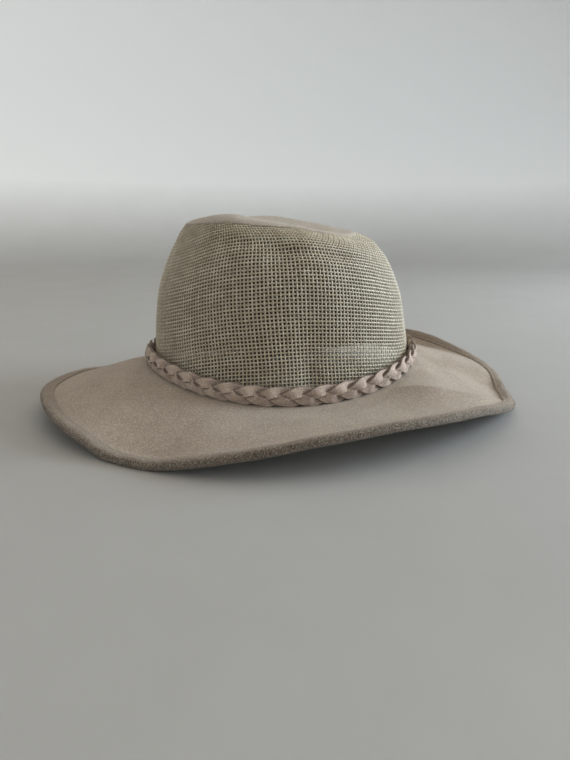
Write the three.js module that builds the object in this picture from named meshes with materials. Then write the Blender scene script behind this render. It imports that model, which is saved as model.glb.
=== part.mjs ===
// A wide-brimmed summer hat: suede brim and crown top, open net crown side, plaited leather band.
// Millimetres, +Z up, -Y is the front of the hat, +X the wearer's left. It rests on its brim at z = 0.
import * as THREE from 'three';

// ---- driving sizes --------------------------------------------------------------------------
const STATIONS = 72;             // facets round the hat, shared by every ring
const HEAD_HALF_WIDTH = 84.5;    // outer face of the net where it meets the brim
const HEAD_HALF_LENGTH = 98;
const HEAD_FORWARD = 0.5;        // how far the crown stands in front of the brim's middle
const RIM_HALF_WIDTH = 160;      // rim of the brim leather
const RIM_HALF_LENGTH = 174.5;
const LEATHER = 2;               // brim and crown top
const NET_WALL = 1.6;
const SEAT_GAP = 0.3;            // between pieces that touch

const FOOT_HEIGHT = 21.9;        // the crown's foot above the table, mean
const FOOT_SWING = 7.4;          // it stands higher at front and back than at the sides
const FOOT_TURN = 14;            // degrees that this swing is turned from the centre line

const CREASE_HEIGHT = 119;       // floor of the sunken crown top, at its middle

const CURL_WIDTH = 11;           // straight outer strip of the brim, which is turned up or down
const HEM_WIDTH = 6.5;           // the part of it that the binding covers
const BINDING_HALF = 2.9;        // half of its thickness over the rolled edge
const BINDING_NOSE = 2.2;        // how far it stands outside the leather

const PLAIT_TURNS = 14;          // repeats of the three-strand plait round the hat
const PLAIT_STEPS = 13;          // sections in one repeat
const PLAIT_REACH = 3.8;         // a strand's swing up and down
const PLAIT_DEPTH = 1.6;         // its swing in and out
const PLAIT_TILT = 30;           // degrees that it leans as it passes over or under
const LACE_WIDTH = 4.2;
const LACE_THICKNESS = 1;

// Height of the brim's rim above the table at each bend, and how far the rim stands above the
// line where the outer strip begins. turn: degrees from the front towards the wearer's left.
const BRIM_BENDS = [
  { turn: 0, rim: 14.8, flip: 0 },
  { turn: 12, rim: 12, flip: 0 },
  { turn: 24, rim: 8, flip: -1 },
  { turn: 34, rim: 2.1, flip: 0 },
  { turn: 41, rim: 2.1, flip: 0 },
  { turn: 48, rim: 5.2, flip: -1 },
  { turn: 64, rim: 14.8, flip: 1 },
  { turn: 76, rim: 21, flip: 2 },
  { turn: 90, rim: 24, flip: 3 },
  { turn: 107, rim: 21.3, flip: 2 },
  { turn: 122, rim: 13.5, flip: -1 },
  { turn: 134, rim: 6.5, flip: -2 },
  { turn: 144, rim: 2.1, flip: 0 },
  { turn: 151, rim: 2.1, flip: 0 },
  { turn: 160, rim: 8.8, flip: -4 },
  { turn: 180, rim: 17.4, flip: 2 },
  { turn: 202, rim: 26, flip: 10 },
  { turn: 219, rim: 15, flip: 5 },
  { turn: 239, rim: 2.1, flip: 0 },
  { turn: 246, rim: 2.1, flip: 0 },
  { turn: 270, rim: 10, flip: 1 },
  { turn: 298, rim: 2.1, flip: 0 },
  { turn: 311, rim: 2.1, flip: 0 },
  { turn: 322, rim: 6.5, flip: -2 },
  { turn: 346, rim: 12.5, flip: 0 },
];

// Soft radial folds of the brim leather, tallest halfway out.
const BRIM_FOLDS = [
  { turn: 118, spread: 11, height: 3.5 },
  { turn: 20, spread: 14, height: 1.5 },
  { turn: 215, spread: 16, height: 2 },
];

// The net's outline at each height, as a share of the way from the crown's foot to the seam.
const NET_SECTIONS = [
  { rise: 0, half_width: 84.5, half_length: 98, forward: 0.5 },
  { rise: 0.12, half_width: 84.5, half_length: 97, forward: 0.8 },
  { rise: 0.3, half_width: 83, half_length: 95, forward: 1.8 },
  { rise: 0.5, half_width: 80, half_length: 92, forward: 2.5 },
  { rise: 0.68, half_width: 76.5, half_length: 86, forward: 3.3 },
  { rise: 0.8, half_width: 72.5, half_length: 80.5, forward: 3.8 },
  { rise: 0.88, half_width: 68, half_length: 75.5, forward: 4.8 },
  { rise: 0.94, half_width: 62, half_length: 71.5, forward: 6 },
  { rise: 1, half_width: 50.5, half_length: 63.5, forward: 10 },
];

const INNER_LEVELS = [0, 2, 4, 6, 7, 8];   // rows of that table which the inner face follows

// Shallow dents of the net: where, how wide and how deep.
const NET_DENTS = [
  { turn: 66, rise: 0.88, turn_spread: 9, rise_spread: 0.1, depth: 3 },
  { turn: 82, rise: 0.3, turn_spread: 12, rise_spread: 0.22, depth: 2.5 },
  { turn: 250, rise: 0.6, turn_spread: 20, rise_spread: 0.25, depth: 3 },
];

// The crown top round its edge: height of the seam with the net, how far the rolled edge stands
// above it, and how far inside it the roll is highest, as a share of the seam's oval.
const TOP_EDGE = [
  { turn: 0, seam: 126.5, roll: 5.2, inset: 0.27 },
  { turn: 22, seam: 127, roll: 6, inset: 0.25 },
  { turn: 42, seam: 127.8, roll: 5.2, inset: 0.2 },
  { turn: 60, seam: 126.2, roll: 4.2, inset: 0.15 },
  { turn: 82, seam: 125, roll: 1.8, inset: 0.08 },
  { turn: 104, seam: 122, roll: 0.8, inset: 0.05 },
  { turn: 132, seam: 119.6, roll: 0.8, inset: 0.05 },
  { turn: 158, seam: 121.2, roll: 1.2, inset: 0.06 },
  { turn: 185, seam: 122.8, roll: 1.4, inset: 0.08 },
  { turn: 215, seam: 125, roll: 3.4, inset: 0.12 },
  { turn: 250, seam: 128, roll: 4.6, inset: 0.16 },
  { turn: 285, seam: 129, roll: 3.4, inset: 0.2 },
  { turn: 325, seam: 127.2, roll: 2.8, inset: 0.25 },
];

// The crown top from its seam inwards: share of the way over the roll, then share of the way
// from the top of the roll to the middle and share of the way down to the crease.
const TOP_SECTIONS = [
  { over: 0, rise: 0, inwards: 0, down: 0 },
  { over: 0.1, rise: 0.24, inwards: 0, down: 0 },
  { over: 0.45, rise: 0.7, inwards: 0, down: 0 },
  { over: 1, rise: 1, inwards: 0, down: 0 },
  { over: 1, rise: 1, inwards: 0.2, down: 0.3 },
  { over: 1, rise: 1, inwards: 0.48, down: 0.76 },
  { over: 1, rise: 1, inwards: 0.78, down: 0.96 },
];
const TOP_INNER_LEVELS = [0, 2, 4, 5];       // rows of that table which the under face follows

// ---- small helpers --------------------------------------------------------------------------
const radians = (degrees) => (degrees * Math.PI) / 180;
const mix = (a, b, share) => a + (b - a) * share;

// Shortest turn from one direction to another, in degrees.
function turnBetween(from, to) {
  return ((to - from + 540) % 360) - 180;
}

function bell(distance, spread) {
  return Math.exp(-((distance / spread) ** 2));
}

// A point on an oval round the hat; turn 0 is the front.
function ovalPoint(turn, halfWidth, halfLength, forward, height) {
  const angle = radians(turn);
  return new THREE.Vector3(halfWidth * Math.sin(angle), -halfLength * Math.cos(angle) - forward, height);
}

// Smooth value of one column of a table whose rows go once round the hat, with no overshoot.
function valueRound(rows, column, turn) {
  const count = rows.length;
  const wrapped = ((turn % 360) + 360) % 360;
  let index = count - 1;
  while (rows[index].turn > wrapped) index -= 1;
  const row = (step) => rows[(index + step + count) % count];
  const span = (a, b) => (b.turn - a.turn + 360) % 360;
  const slope = (a, b) => (b[column] - a[column]) / span(a, b);
  const bend = (before, after) => (before * after <= 0 ? 0 : (2 * before * after) / (before + after));
  const here = slope(row(0), row(1));
  const startSlope = bend(slope(row(-1), row(0)), here);
  const endSlope = bend(here, slope(row(1), row(2)));
  const width = span(row(0), row(1));
  const t = (wrapped - row(0).turn) / width;
  const t2 = t * t;
  const t3 = t2 * t;
  return (
    (2 * t3 - 3 * t2 + 1) * row(0)[column] +
    (t3 - 2 * t2 + t) * width * startSlope +
    (3 * t2 - 2 * t3) * row(1)[column] +
    (t3 - t2) * width * endSlope
  );
}

// One ring of points round the hat.
function ring(pointAt) {
  return Array.from({ length: STATIONS }, (_, station) => pointAt((station * 360) / STATIONS));
}

// Surface normal at each point of a stack of rings.
function ringNormals(rings) {
  return rings.map((points, level) =>
    points.map((point, station) => {
      const before = points[(station + STATIONS - 1) % STATIONS];
      const after = points[(station + 1) % STATIONS];
      const lower = rings[Math.max(level - 1, 0)][station];
      const upper = rings[Math.min(level + 1, rings.length - 1)][station];
      const along = after.clone().sub(before);
      return along.cross(upper.clone().sub(lower)).normalize();
    })
  );
}

// The same rings moved along their normals.
function offsetRings(rings, distance) {
  const normals = ringNormals(rings);
  return rings.map((points, level) =>
    points.map((point, station) => point.clone().addScaledVector(normals[level][station], distance))
  );
}

// Closed mesh from points and triangles, turned so that its faces point outwards.
function closedGeometry(points, triangles) {
  let volume = 0;
  for (const [a, b, c] of triangles) {
    volume += points[a].dot(points[b].clone().cross(points[c]));
  }
  const indices = triangles.flatMap(([a, b, c]) => (volume > 0 ? [a, b, c] : [a, c, b]));
  const geometry = new THREE.BufferGeometry();
  geometry.setAttribute('position', new THREE.Float32BufferAttribute(points.flatMap((p) => p.toArray()), 3));
  geometry.setIndex(indices);
  geometry.computeVertexNormals();
  return geometry;
}

// Closed solid from a stack of rings. Looped stacks join the last ring to the first; others are
// closed by a fan to a centre point at each end.
function ringSolid(rings, centres = null) {
  const perRing = rings[0].length;
  const points = rings.flat();
  const triangles = [];
  const spans = centres ? rings.length - 1 : rings.length;
  for (let level = 0; level < spans; level += 1) {
    const next = (level + 1) % rings.length;
    for (let i = 0; i < perRing; i += 1) {
      const j = (i + 1) % perRing;
      const a = level * perRing + i;
      const b = level * perRing + j;
      const c = next * perRing + j;
      const d = next * perRing + i;
      triangles.push([a, b, c], [a, c, d]);
    }
  }
  if (centres) {
    const first = points.length;
    points.push(...centres);
    const lastRing = (rings.length - 1) * perRing;
    for (let i = 0; i < perRing; i += 1) {
      const j = (i + 1) % perRing;
      triangles.push([j, i, first], [lastRing + i, lastRing + j, first + 1]);
    }
  }
  return closedGeometry(points, triangles);
}

function makeMesh(name, geometry, color, roughness) {
  const mesh = new THREE.Mesh(geometry, new THREE.MeshStandardMaterial({ color, roughness, metalness: 0 }));
  mesh.name = name;
  return mesh;
}

// ---- brim -----------------------------------------------------------------------------------
const BRIM_WIDTH = RIM_HALF_WIDTH - HEAD_HALF_WIDTH;
const NET_INNER_SHARE = -NET_WALL / BRIM_WIDTH;   // the brim reaches in under the net
const CURL_SHARE = 1 - CURL_WIDTH / BRIM_WIDTH;
const HEM_SHARE = 1 - HEM_WIDTH / BRIM_WIDTH;

function footHeight(turn) {
  return FOOT_HEIGHT + FOOT_SWING * Math.cos(radians(2 * (turn + FOOT_TURN)));
}

// Height of the middle of the leather; share 0 is the net's outer face, 1 the rim.
function brimHeight(turn, share) {
  const rim = valueRound(BRIM_BENDS, 'rim', turn);
  const curlLine = rim - valueRound(BRIM_BENDS, 'flip', turn);
  if (share > CURL_SHARE) return mix(curlLine, rim, (share - CURL_SHARE) / (1 - CURL_SHARE));
  const out = share / CURL_SHARE;
  const folds = BRIM_FOLDS.reduce(
    (sum, fold) => sum + fold.height * bell(turnBetween(fold.turn, turn), fold.spread),
    0
  );
  const arch = folds * Math.sin(Math.PI * THREE.MathUtils.clamp(out, 0, 1)) ** 2;
  return mix(footHeight(turn), curlLine, out * (0.7 + 0.3 * out)) + arch;
}

function brimPoint(turn, share) {
  const halfWidth = mix(HEAD_HALF_WIDTH, RIM_HALF_WIDTH, share);
  const halfLength = mix(HEAD_HALF_LENGTH, RIM_HALF_LENGTH, share);
  return ovalPoint(turn, halfWidth, halfLength, mix(HEAD_FORWARD, 0, share), brimHeight(turn, share));
}

const BRIM_SHARES = [NET_INNER_SHARE, 0.02, 0.26, 0.54, CURL_SHARE, HEM_SHARE, 1];
const brimMiddle = BRIM_SHARES.map((share) => ring((turn) => brimPoint(turn, share)));
const brimNormals = ringNormals(brimMiddle);

function makeBrim() {
  const upper = offsetRings(brimMiddle, LEATHER / 2);
  const lower = offsetRings(brimMiddle, -LEATHER / 2);
  return makeMesh('brim', ringSolid([...upper, ...lower.reverse()]), 0x9a8b7d, 0.95);
}

// ---- edge binding ---------------------------------------------------------------------------
// A strip folded over the rim, flattened where the hat rests on the table. Its section is given
// as distance outside the rim and height above the middle of the leather.
function makeEdgeBinding() {
  const slot = LEATHER / 2 + SEAT_GAP;
  const section = [
    { out: 0, up: slot, inner: true },
    { out: SEAT_GAP, up: slot },
    { out: SEAT_GAP, up: -slot },
    { out: 0, up: -slot, inner: true },
    { out: 0, up: -BINDING_HALF + 0.4, inner: true },
    { out: 0.4, up: -BINDING_HALF },
    { out: BINDING_NOSE, up: -BINDING_HALF * 0.65 },
    { out: BINDING_NOSE, up: BINDING_HALF * 0.4 },
    { out: 0.4, up: BINDING_HALF },
    { out: 0, up: BINDING_HALF - 0.6, inner: true },
  ];
  const rimLevel = BRIM_SHARES.length - 1;
  const rings = section.map(({ out, up, inner }) => brimMiddle[rimLevel].map((rim, station) => {
    const hem = brimMiddle[rimLevel - 1][station];
    const outward = rim.clone().sub(hem).normalize();
    const normal = brimNormals[inner ? rimLevel - 1 : rimLevel][station];
    const point = (inner ? hem : rim).clone();
    point.addScaledVector(outward, out).addScaledVector(normal, up);
    point.z = Math.max(point.z, 0);
    return point;
  }));
  return makeMesh('edge_binding', ringSolid(rings), 0x6b5b4b, 1);
}

// ---- crown ----------------------------------------------------------------------------------
const seamSection = NET_SECTIONS[NET_SECTIONS.length - 1];

function seamPoint(turn, reach) {
  const { half_width, half_length, forward } = seamSection;
  return ovalPoint(turn, half_width * reach, half_length * reach, forward, valueRound(TOP_EDGE, 'seam', turn));
}

function netDent(turn, rise) {
  return NET_DENTS.reduce((sum, dent) => {
    const near = bell(turnBetween(dent.turn, turn), dent.turn_spread);
    return sum + dent.depth * near * bell(rise - dent.rise, dent.rise_spread);
  }, 0);
}

function netPoint(turn, row) {
  const foot = brimHeight(turn, 0) + LEATHER / 2 + SEAT_GAP;
  const dent = row.rise > 0 && row.rise < 1 ? netDent(turn, row.rise) : 0;
  const height = mix(foot, seamPoint(turn, 1).z, row.rise);
  return ovalPoint(turn, row.half_width - dent, row.half_length - dent, row.forward, height);
}

function makeCrownNet() {
  const outer = NET_SECTIONS.map((row) => ring((turn) => netPoint(turn, row)));
  const inner = offsetRings(outer, -NET_WALL);
  inner[0] = ring((turn) => {
    const point = brimPoint(turn, NET_INNER_SHARE);
    return point.setZ(point.z + LEATHER / 2 + SEAT_GAP);
  });
  const innerRows = inner.filter((_, level) => INNER_LEVELS.includes(level));
  return makeMesh('crown_net', ringSolid([...outer, ...innerRows.reverse()]), 0x8f8a6c, 0.8);
}

function topPoint(turn, row) {
  const roll = valueRound(TOP_EDGE, 'roll', turn);
  const inset = valueRound(TOP_EDGE, 'inset', turn);
  const point = seamPoint(turn, (1 - inset * row.over) * (1 - row.inwards));
  point.z = mix(point.z + SEAT_GAP + roll * row.rise, CREASE_HEIGHT, row.down);
  return point;
}

function makeCrownTop() {
  const outer = TOP_SECTIONS.map((row) => ring((turn) => topPoint(turn, row)));
  const inner = offsetRings(outer, -LEATHER).filter((_, level) => TOP_INNER_LEVELS.includes(level));
  inner[0] = ring((turn) => {
    const point = seamPoint(turn, 1 - LEATHER / seamSection.half_width);
    return point.setZ(point.z + SEAT_GAP);
  });
  const centre = new THREE.Vector3(0, -seamSection.forward, CREASE_HEIGHT);
  const under = centre.clone().setZ(CREASE_HEIGHT - LEATHER);
  const rings = [...outer.reverse(), ...inner];
  return makeMesh('crown_top', ringSolid(rings, [centre, under]), 0xa99b8c, 0.95);
}

// ---- plaited band ---------------------------------------------------------------------------
const BAND_STANDOFF = PLAIT_DEPTH + LACE_THICKNESS / 2 + 1.6;
const BAND_RISE = PLAIT_REACH + LACE_WIDTH / 2 + 0.6;

// The section of a strand: a flat lace that passes from one side of the band to the other, goes
// over one neighbour and under the next, and leans as it does so.
function laceSection(turn, phase) {
  const swing = radians(turn * PLAIT_TURNS) + phase;
  const lean = -radians(PLAIT_TILT) * Math.cos(3 * swing);
  const seat = brimHeight(turn, BAND_STANDOFF / BRIM_WIDTH) + LEATHER / 2;
  const corners = [[-1, -1], [-1, 1], [1, 1], [1, -1]];
  return corners.map(([side, face]) => {
    const along = (side * LACE_WIDTH) / 2;
    const through = (face * LACE_THICKNESS) / 2;
    const up = PLAIT_REACH * Math.sin(swing) + along * Math.cos(lean) + through * Math.sin(lean);
    const out = PLAIT_DEPTH * Math.sin(2 * swing) - along * Math.sin(lean) + through * Math.cos(lean);
    const reach = BAND_STANDOFF + out;
    const height = seat + BAND_RISE + up;
    return ovalPoint(turn, HEAD_HALF_WIDTH + reach, HEAD_HALF_LENGTH + reach, HEAD_FORWARD, height);
  });
}

function makeStrand(index) {
  const count = PLAIT_TURNS * PLAIT_STEPS;
  const phase = (index * 2 * Math.PI) / 3;
  const sections = Array.from({ length: count }, (_, step) => laceSection((step * 360) / count, phase));
  return makeMesh(`band_strand_${index + 1}`, ringSolid(sections), 0xa8917f, 0.85);
}

// ---- the hat --------------------------------------------------------------------------------
const group = new THREE.Group();
group.add(makeBrim(), makeEdgeBinding(), makeCrownNet(), makeCrownTop());
for (let index = 0; index < 3; index += 1) group.add(makeStrand(index));

export default group;
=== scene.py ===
"""Looks of a wide-brimmed summer hat: suede brim and top, bound edge, woven net side, plaited band.

Lengths in the tables are millimetres and turns are degrees from the front of the hat towards the
wearer's left. Meshes are made in metres.
"""
import math

import bmesh
import bpy
import numpy as np
from mathutils import Matrix


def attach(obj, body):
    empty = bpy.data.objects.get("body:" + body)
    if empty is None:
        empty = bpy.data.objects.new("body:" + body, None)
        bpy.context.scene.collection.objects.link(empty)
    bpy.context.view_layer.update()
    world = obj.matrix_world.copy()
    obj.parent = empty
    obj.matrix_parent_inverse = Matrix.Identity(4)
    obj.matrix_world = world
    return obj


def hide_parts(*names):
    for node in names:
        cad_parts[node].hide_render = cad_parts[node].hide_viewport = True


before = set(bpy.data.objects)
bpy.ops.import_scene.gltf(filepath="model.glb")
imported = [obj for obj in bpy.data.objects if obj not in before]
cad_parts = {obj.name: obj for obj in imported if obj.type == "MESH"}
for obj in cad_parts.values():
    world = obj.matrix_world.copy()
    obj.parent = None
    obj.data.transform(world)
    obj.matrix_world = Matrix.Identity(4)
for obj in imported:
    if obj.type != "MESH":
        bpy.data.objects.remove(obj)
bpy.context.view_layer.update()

MM = 0.001
GRID_STEP = 0.5          # degrees between the points of the binding and of the net's grid

# ---- sizes of the hat -----------------------------------------------------------------------
HEAD_HALF_WIDTH = 84.5
HEAD_HALF_LENGTH = 98.0
HEAD_FORWARD = 0.5
RIM_HALF_WIDTH = 160.0
RIM_HALF_LENGTH = 174.5
LEATHER = 2.0
SEAT_GAP = 0.3
FOOT_HEIGHT = 21.9
FOOT_SWING = 7.4
FOOT_TURN = 14.0
CREASE_HEIGHT = 119.0
CURL_WIDTH = 11.0
HEM_WIDTH = 6.5
NET_WALL = 1.6
BRIM_WIDTH = RIM_HALF_WIDTH - HEAD_HALF_WIDTH
INNER_SHARE = -NET_WALL / BRIM_WIDTH      # the brim reaches in under the net
CURL_SHARE = 1 - CURL_WIDTH / BRIM_WIDTH
HEM_SHARE = 1 - HEM_WIDTH / BRIM_WIDTH

# turn, height of the rim, how far the rim stands above the line where the outer strip begins
BRIM_BENDS = np.array([
    (0, 14.8, 0), (12, 12, 0), (24, 8, -1), (34, 2.1, 0), (41, 2.1, 0), (48, 5.2, -1),
    (64, 14.8, 1), (76, 21, 2), (90, 24, 3), (107, 21.3, 2), (122, 13.5, -1), (134, 6.5, -2),
    (144, 2.1, 0), (151, 2.1, 0), (160, 8.8, -4), (180, 17.4, 2), (202, 26, 10), (219, 15, 5),
    (239, 2.1, 0), (246, 2.1, 0), (270, 10, 1), (298, 2.1, 0), (311, 2.1, 0), (322, 6.5, -2),
    (346, 12.5, 0),
], float)

# turn, spread, height of each soft fold of the brim
BRIM_FOLDS = [(118, 11, 3.5), (20, 14, 1.5), (215, 16, 2)]

# share of the way from foot to seam, half width, half length, forward
NET_SECTIONS = np.array([
    (0, 84.5, 98, 0.5), (0.12, 84.5, 97, 0.8), (0.3, 83, 95, 1.8), (0.5, 80, 92, 2.5),
    (0.68, 76.5, 86, 3.3), (0.8, 72.5, 80.5, 3.8), (0.88, 68, 75.5, 4.8), (0.94, 62, 71.5, 6),
    (1, 50.5, 63.5, 10),
], float)

# turn, rise, spread in turn, spread in rise, depth
NET_DENTS = [
    (66, 0.88, 9, 0.1, 3), (82, 0.3, 12, 0.22, 2.5), (250, 0.6, 20, 0.25, 3),
    (52, 0.9, 12, 0.03, 1.4), (78, 0.87, 14, 0.03, 1.8), (100, 0.86, 10, 0.03, 1.2),
    (72, 0.82, 5, 0.08, 1.5), (79, 0.12, 4, 0.14, 2), (30, 0.5, 12, 0.12, 1.2),
]

# turn, height of the seam, height of the roll above it, inset of the roll
TOP_EDGE = np.array([
    (0, 126.5, 5.2, 0.27), (22, 127, 6, 0.25), (42, 127.8, 5.2, 0.2), (60, 126.2, 4.2, 0.15),
    (82, 125, 1.8, 0.08), (104, 122, 0.8, 0.05), (132, 119.6, 0.8, 0.05),
    (158, 121.2, 1.2, 0.06), (185, 122.8, 1.4, 0.08), (215, 125, 3.4, 0.12),
    (250, 128, 4.6, 0.16), (285, 129, 3.4, 0.2), (325, 127.2, 2.8, 0.25),
], float)

# over the roll, share of its rise, inwards to the middle, down to the crease
TOP_SECTIONS = np.array([
    (0, 0, 0, 0), (0.1, 0.24, 0, 0), (0.45, 0.72, 0, 0), (0.88, 0.98, 0, 0), (1, 1, 0.02, 0.02),
    (1, 1, 0.2, 0.32), (1, 1, 0.48, 0.76), (1, 1, 0.78, 0.96), (1, 1, 1, 1),
], float)


# ---- small helpers --------------------------------------------------------------------------
TINY = 1e-12


def mix(a, b, share):
    return a + (b - a) * share


def bell(distance, spread):
    return np.exp(-((distance / spread) ** 2))


def turn_between(start, end):
    return (np.asarray(end) - start + 540) % 360 - 180


def cubic(start, end, start_slope, end_slope, span, t):
    """Value at the share t of a span between two ends that have the given slopes."""
    return (
        (2 * t**3 - 3 * t**2 + 1) * start
        + (t**3 - 2 * t**2 + t) * span * start_slope
        + (3 * t**2 - 2 * t**3) * end
        + (t**3 - t**2) * span * end_slope
    )


def value_round(rows, column, turn):
    """Smooth value of one column of a table whose rows go once round the hat, no overshoot."""
    turn = np.mod(np.asarray(turn, float), 360)
    at = rows[:, 0]
    value = rows[:, column]
    span = (np.roll(at, -1) - at) % 360
    slope = (np.roll(value, -1) - value) / span
    before = np.roll(slope, 1)
    total = np.where(np.abs(before + slope) < TINY, 1, before + slope)
    bend = np.where(before * slope <= 0, 0, 2 * before * slope / total)
    i = (np.searchsorted(at, turn, side="right") - 1) % len(at)
    t = ((turn - at[i]) % 360) / span[i]
    return cubic(value[i], np.roll(value, -1)[i], bend[i], np.roll(bend, -1)[i], span[i], t)


def value_along(rows, column, share):
    """Smooth value of one column of a table that is read by its first column, no overshoot."""
    share = np.clip(np.asarray(share, float), rows[0, 0], rows[-1, 0])
    at = rows[:, 0]
    value = rows[:, column]
    span = np.diff(at)
    slope = np.diff(value) / span
    inner = slope[:-1] + slope[1:]
    inner = np.where(np.abs(inner) < TINY, 1, inner)
    bend = np.where(slope[:-1] * slope[1:] <= 0, 0, 2 * slope[:-1] * slope[1:] / inner)
    bend = np.concatenate([[slope[0]], bend, [slope[-1]]])
    i = np.clip(np.searchsorted(at, share, side="right") - 1, 0, len(span) - 1)
    t = (share - at[i]) / span[i]
    return cubic(value[i], value[i + 1], bend[i], bend[i + 1], span[i], t)


def oval_point(turn, half_width, half_length, forward, height):
    angle = np.radians(turn)
    return np.stack(np.broadcast_arrays(
        half_width * np.sin(angle), -half_length * np.cos(angle) - forward, height), -1)


def unit(vectors):
    return vectors / np.maximum(np.linalg.norm(vectors, axis=-1, keepdims=True), TINY)


def grid_normals(points):
    """Normals of a grid of points [turn, level] whose turns close round the hat."""
    along = np.roll(points, -1, 0) - np.roll(points, 1, 0)
    across = np.gradient(points, axis=1)
    return unit(np.cross(along, across))


def soft_noise(turn, reach, seed, waves, size):
    """Smooth unevenness of height about 1 that closes round the hat."""
    random = np.random.default_rng(seed)
    total = 0
    for _ in range(waves):
        lobes = random.integers(1, size)
        drift = random.uniform(-0.5, 0.5) * size
        total = total + np.sin(
            np.radians(turn) * lobes + reach * drift + random.uniform(0, 2 * math.pi))
    return total / math.sqrt(waves)


def ring_faces(turns, levels, looped):
    """Quads of a grid of points [turn, level]; the turns close, the levels if looped."""
    i = np.arange(turns)[:, None]
    j = np.arange(levels if looped else levels - 1)[None, :]
    k = (i + 1) % turns
    m = (j + 1) % levels
    corners = [i * levels + j, k * levels + j, k * levels + m, i * levels + m]
    return np.stack(np.broadcast_arrays(*corners), -1).reshape(-1, 4)


def link(thing):
    bpy.context.scene.collection.objects.link(thing)
    return thing


def make_piece(name, points, faces, material):
    """A closed mesh piece with its faces turned outwards."""
    points = np.asarray(points, float).reshape(-1, 3)
    quads = points[faces]
    fan = np.cross(quads[:, 1], quads[:, 2]) + np.cross(quads[:, 2], quads[:, 3])
    if (quads[:, 0] * fan).sum() < 0:
        faces = faces[:, ::-1]
    rows = [list(dict.fromkeys(face)) for face in faces.tolist()]
    mesh = bpy.data.meshes.new(name)
    mesh.from_pydata((points * MM).tolist(), [], rows)
    mesh.shade_smooth()
    mesh.materials.append(material)
    return link(bpy.data.objects.new(name, mesh))


def line_mesh(name, lines, **values):
    """A mesh of loose lines. lines: (points, closed) pairs; values: one array per line each."""
    points = []
    edges = []
    start = 0
    for line, closed in lines:
        count = len(line)
        points.append(line)
        ends = np.arange(start, start + count)
        edges.append(np.stack([ends[:-1], ends[1:]], 1))
        if closed:
            edges.append([[start + count - 1, start]])
        start += count
    mesh = bpy.data.meshes.new(name)
    mesh.from_pydata((np.concatenate(points) * MM).tolist(), np.concatenate(edges).tolist(), [])
    for key, arrays in values.items():
        data = np.concatenate(arrays)
        kind = "FLOAT_VECTOR" if data.ndim == 2 else "FLOAT"
        field = "vector" if data.ndim == 2 else "value"
        mesh.attributes.new(key, kind, "POINT").data.foreach_set(field, data.ravel())
    return mesh


# ---- node trees -----------------------------------------------------------------------------
def new_tree(name, inputs):
    """A geometry node tree with a Geometry input, the named inputs and a Geometry output."""
    tree = bpy.data.node_groups.new(name, "GeometryNodeTree")
    tree.interface.new_socket("Geometry", in_out="INPUT", socket_type="NodeSocketGeometry")
    for key, kind in inputs:
        tree.interface.new_socket(key, in_out="INPUT", socket_type=kind)
    tree.interface.new_socket("Geometry", in_out="OUTPUT", socket_type="NodeSocketGeometry")
    return tree, tree.nodes.new("NodeGroupInput"), tree.nodes.new("NodeGroupOutput")


def add_node(tree, kind, settings=None, **inputs):
    """A node with its settings; each input is a value or the socket that feeds it."""
    node = tree.nodes.new(kind)
    for key, value in (settings or {}).items():
        setattr(node, key, value)
    for key, value in inputs.items():
        socket = node.inputs[int(key[1:])] if key[1:].isdigit() else node.inputs[key]
        if isinstance(value, bpy.types.NodeSocket):
            tree.links.new(value, socket)
        else:
            socket.default_value = value
    return node


def noise(tree, place, scale, detail, roughness=0.5):
    return add_node(
        tree, "ShaderNodeTexNoise", Vector=place, Scale=scale, Detail=detail,
        Roughness=roughness).outputs["Fac"]


def ranged(tree, value, low, high, to_low=0.0, to_high=1.0):
    return add_node(
        tree, "ShaderNodeMapRange", Value=value, _1=low, _2=high, _3=to_low,
        _4=to_high).outputs[0]


def blend(tree, share, first, second, way="MIX"):
    return add_node(
        tree, "ShaderNodeMix", {"data_type": "RGBA", "blend_type": way}, Factor=share, _6=first,
        _7=second).outputs[2]


def calculate(tree, operation, *values):
    inputs = {f"_{i}": value for i, value in enumerate(values)}
    return add_node(tree, "ShaderNodeMath", {"operation": operation}, **inputs).outputs[0]


def stored(tree, key):
    """A value that the mesh stores at each point."""
    return add_node(tree, "ShaderNodeAttribute", {"attribute_name": key}).outputs["Fac"]


def object_place(tree):
    return add_node(tree, "ShaderNodeTexCoord").outputs["Object"]


def roughen(tree, shader, strength, depth, height):
    """Small relief of a finish."""
    bump = add_node(
        tree, "ShaderNodeBump", Strength=strength, Distance=depth, Height=height)
    tree.links.new(bump.outputs[0], shader.inputs["Normal"])


def first_node(tree, kind):
    return next(n for n in tree.nodes if n.type == kind)


def finish_tree(tree, geometry, material, end):
    realized = add_node(tree, "GeometryNodeRealizeInstances", _0=geometry)
    painted = add_node(tree, "GeometryNodeSetMaterial", _0=realized.outputs[0], _2=material)
    tree.links.new(painted.outputs[0], end.inputs[0])


def named_value(tree, key, kind):
    return add_node(tree, "GeometryNodeInputNamedAttribute", {"data_type": kind}, _0=key)


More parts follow.
